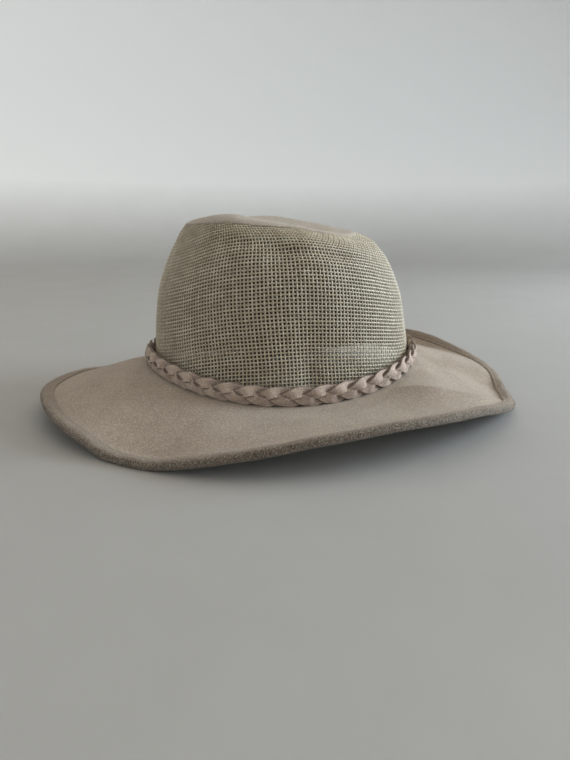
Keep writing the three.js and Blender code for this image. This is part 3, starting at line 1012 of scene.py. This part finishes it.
def make_crown_top():
    turns = np.arange(0, 360, TOP_STEP)[:, None]
    over, rise, inwards, down = (column[None, :] for column in top_rows(TOP_ROWS)[:-1].T)
    roll = value_round(TOP_EDGE, 2, turns)
    inset = value_round(TOP_EDGE, 3, turns)
    reach = (1 - inset * over) * (1 - inwards)
    outer = seam_point(turns, reach)
    outer[..., 2] = mix(outer[..., 2] + roll * rise, CREASE_HEIGHT, down)
    uneven = soft_noise(turns, reach * 4, seed=31, waves=8, size=9)
    uneven = uneven * TOP_UNEVEN * np.clip(over, 0, 1)
    outer[..., 2] += uneven * np.clip(1 - inwards, 0, 1)
    normals = grid_normals(outer)
    normals *= np.sign(normals[..., 2].mean())
    inner = outer - normals * LEATHER
    inner[:, 0] = seam_point(turns[:, 0], 1 - LEATHER / NET_SECTIONS[-1, 1])
    inner[:, 0, 2] += SEAT_GAP
    outer[:, 0, 2] -= TOP_LAP
    inner[:, 0, 2] -= TOP_LAP
    forward = NET_SECTIONS[-1, 3]
    count = len(turns)
    centre = np.tile([0, -forward, CREASE_HEIGHT], (count, 1, 1))
    under = np.tile([0, -forward, CREASE_HEIGHT - LEATHER], (count, 1, 1))
    points = np.concatenate([centre, outer[:, ::-1], inner, under], 1)
    levels = points.shape[1]
    flat = points.reshape(-1, 3)
    tops = np.arange(count) * levels
    shared = np.arange(len(flat))      # every turn ends in the same two middle points
    shared[tops] = 0
    shared[tops + levels - 1] = levels - 1
    faces = shared[ring_faces(count, levels, False)]
    piece = make_piece("suede_crown_top", flat, faces, TOP_SUEDE)
    drop_loose(piece)
    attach(piece, "root")
    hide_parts("crown_top")


def drop_loose(piece):
    """Removes points that no face uses."""
    mesh = piece.data
    used = np.zeros(len(mesh.vertices), bool)
    corners = np.empty(len(mesh.loops), np.int32)
    mesh.loops.foreach_get("vertex_index", corners)
    used[corners] = True
    work = bmesh.new()
    work.from_mesh(mesh)
    work.verts.ensure_lookup_table()
    spare = [work.verts[i] for i in np.flatnonzero(~used)]
    bmesh.ops.delete(work, geom=spare, context="VERTS")
    work.to_mesh(mesh)
    work.free()


# ---- plaited band ---------------------------------------------------------------------------
PLAIT_TURNS = 14         # repeats round the hat
PLAIT_STEPS = 32         # points in one repeat
PLAIT_REACH = 3.3        # a lace's swing up and down
PLAIT_DEPTH = 1.8        # its swing in and out
PLAIT_TILT = 25.0        # degrees that it leans as it passes over or under
LACE_WIDTH = 7.2
LACE_THICKNESS = 1.5
BAND_STANDOFF = 3.7
BAND_RISE = 6.5


def make_band():
    count = PLAIT_TURNS * PLAIT_STEPS
    turns = np.arange(count) * 360.0 / count
    seat = brim_height(turns, np.full(count, BAND_STANDOFF / BRIM_WIDTH)) + LEATHER / 2
    side = oval_point(turns, 1.0, 1.0, 0, 0.0)
    outward_flat = unit(side * np.array([1, 1, 0]))
    tree = cord_tree()
    for number in range(3):
        swing = np.radians(turns * PLAIT_TURNS) + number * 2 * math.pi / 3
        lean = -np.radians(PLAIT_TILT) * np.cos(3 * swing)
        out = BAND_STANDOFF + PLAIT_DEPTH * np.sin(2 * swing)
        up = PLAIT_REACH * np.sin(swing)
        line = oval_point(
            turns, HEAD_HALF_WIDTH + out, HEAD_HALF_LENGTH + out, HEAD_FORWARD,
            seat + BAND_RISE + up)
        outward = outward_flat * np.cos(lean)[:, None]
        outward[:, 2] = np.sin(lean)
        base = line_mesh(
            f"lace_line_{number + 1}", [(line, True)], outward=[outward],
            girth=[np.ones(count)])
        piece = grow(f"plait_lace_{number + 1}", base, tree, {
            "Width": LACE_WIDTH * MM, "Thickness": LACE_THICKNESS * MM,
            "Rounding": LACE_THICKNESS * 0.45 * MM, "Corner Points": 3,
            "Material": LACE_LEATHER})
        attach(piece, "root")
        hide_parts(f"band_strand_{number + 1}")


# ---- camera, lights and stage ---------------------------------------------------------------
CAMERA_TURN = 65.0       # degrees from the front of the hat
CAMERA_PITCH = 15.2
CAMERA_ROLL = 0.4
CAMERA_DISTANCE = 432.76
CAMERA_HEIGHT = 126.4
CAMERA_SHIFT = 0.37
LENS = 27.05
SKY_TONE = (1.0, 0.93, 0.82)
SKY_WAY = (0.8, 0.5, 1.0)          # where the sky is brightest: right, ahead, up
SKY_EDGE = -0.12         # how far round from there the sky is still lit
SKY_LEAST = 0.03
SKY_MOST = 1.18
WINDOW_WAY = (1.0, 0.16, 0.26)
WINDOW_DISTANCE = 1.7
WINDOW_SIZE = 0.9
WINDOW_POWER = 38.0
WINDOW_TONE = (0.81, 0.92, 1.0)
LIGHT_AIM = (0, 0, 0.07)


def camera_axes():
    turn = math.radians(CAMERA_TURN)
    ahead = np.array([-math.sin(turn), math.cos(turn), 0])
    right = np.array([math.cos(turn), math.sin(turn), 0])
    return ahead, right


def make_camera():
    ahead, right = camera_axes()
    pitch = math.radians(CAMERA_PITCH)
    roll = math.radians(CAMERA_ROLL)
    look = math.cos(pitch) * ahead - np.array([0, 0, math.sin(pitch)])
    up = np.cross(right, look)
    side = math.cos(roll) * right + math.sin(roll) * up
    top = -math.sin(roll) * right + math.cos(roll) * up
    place = -CAMERA_DISTANCE * ahead + CAMERA_SHIFT * right + np.array([0, 0, CAMERA_HEIGHT])
    data = bpy.data.cameras.new("camera")
    data.lens = LENS
    data.sensor_width = 36.0
    data.clip_start = 0.01
    camera = link(bpy.data.objects.new("camera", data))
    axes = Matrix((side, top, -look)).transposed().to_4x4()
    axes.translation = place * MM
    camera.matrix_world = axes
    bpy.context.scene.camera = camera


def seen_way(direction):
    """A unit direction from its shares to the camera's right, ahead and up."""
    ahead, right = camera_axes()
    way = direction[0] * right + direction[1] * ahead + np.array([0, 0, direction[2]])
    return way / np.linalg.norm(way)


def make_window():
    """A large soft light that looks at the hat."""
    way = seen_way(WINDOW_WAY)
    data = bpy.data.lights.new("window", "AREA")
    data.shape = "SQUARE"
    data.size = WINDOW_SIZE
    data.energy = WINDOW_POWER
    data.color = WINDOW_TONE
    lamp = link(bpy.data.objects.new("window", data))
    lamp.visible_camera = False
    x_axis = np.cross([0, 0, 1.0], way)
    x_axis = x_axis / np.linalg.norm(x_axis)
    turned = Matrix((x_axis, np.cross(way, x_axis), way)).transposed().to_4x4()
    turned.translation = np.array(LIGHT_AIM) + way * WINDOW_DISTANCE
    lamp.matrix_world = turned


def stage_material(name, dark, light, scale, depth):
    """Pale plaster that gets lighter from the floor to the wall."""
    material, tree, shader = new_material(name, 0.75)
    place = object_place(tree)
    patch = noise(tree, place, scale, 6.0, 0.6)
    axes = add_node(tree, "ShaderNodeSeparateXYZ", Vector=place)
    rise = ranged(tree, axes.outputs["Z"], 0.0, 0.3)
    level = calculate(tree, "MULTIPLY_ADD", patch, 0.1, rise)
    tree.links.new(blend(tree, level, dark, light), shader.inputs["Base Color"])
    roughen(tree, shader, 0.5, depth, patch)
    return material


# distance from the middle, height, in metres
STAGE_PROFILE = [
    (0.0, -0.0003), (0.6, -0.0003), (1.1, -0.0003), (1.5, 0.01), (1.75, 0.06),
    (1.92, 0.15), (2.03, 0.28), (2.08, 0.45), (2.1, 0.7), (2.1, 1.5),
]
STAGE_SIDES = 96


def make_stage():
    """A pale floor that turns up into a pale wall all the way round."""
    count = STAGE_SIDES
    turns = np.arange(count) * 2 * math.pi / count
    rings = []
    for reach, height in STAGE_PROFILE[1:]:
        rings.append(np.stack([
            reach * np.cos(turns), reach * np.sin(turns), np.full(count, height)], 1))
    points = np.concatenate([[[0, 0, STAGE_PROFILE[0][1]]], np.concatenate(rings)])
    faces = []
    for i in range(count):
        j = (i + 1) % count
        faces.append([0, 1 + i, 1 + j])
        for level in range(len(rings) - 1):
            a = 1 + level * count
            b = a + count
            faces.append([a + i, b + i, b + j, a + j])
    mesh = bpy.data.meshes.new("studio_floor")
    mesh.from_pydata(points.tolist(), [], faces)
    mesh.shade_smooth()
    mesh.materials.append(stage_material(
        "studio_pale", tone(0.32, 0.318, 0.312), tone(0.88, 0.885, 0.885), scale=9.0,
        depth=0.001))
    floor = link(bpy.data.objects.new("studio_floor", mesh))


def make_light():
    world = bpy.data.worlds.new("studio")
    world.use_nodes = True
    tree = world.node_tree
    sky = tree.nodes["Background"]
    sky.inputs["Color"].default_value = tone(*SKY_TONE)
    way = add_node(tree, "ShaderNodeTexCoord").outputs["Generated"]
    facing = add_node(
        tree, "ShaderNodeVectorMath", {"operation": "DOT_PRODUCT"}, _0=way,
        _1=seen_way(SKY_WAY).tolist())
    strength = ranged(tree, facing.outputs["Value"], SKY_EDGE, 1.0, SKY_LEAST, SKY_MOST)
    tree.links.new(strength, sky.inputs["Strength"])
    bpy.context.scene.world = world
    make_window()
    bpy.context.scene.view_settings.view_transform = "Standard"


# ---- making ---------------------------------------------------------------------------------
make_camera()
make_brim()
dress_binding(make_binding())
make_net()
make_crown_top()
make_band()
make_stage()
make_light()
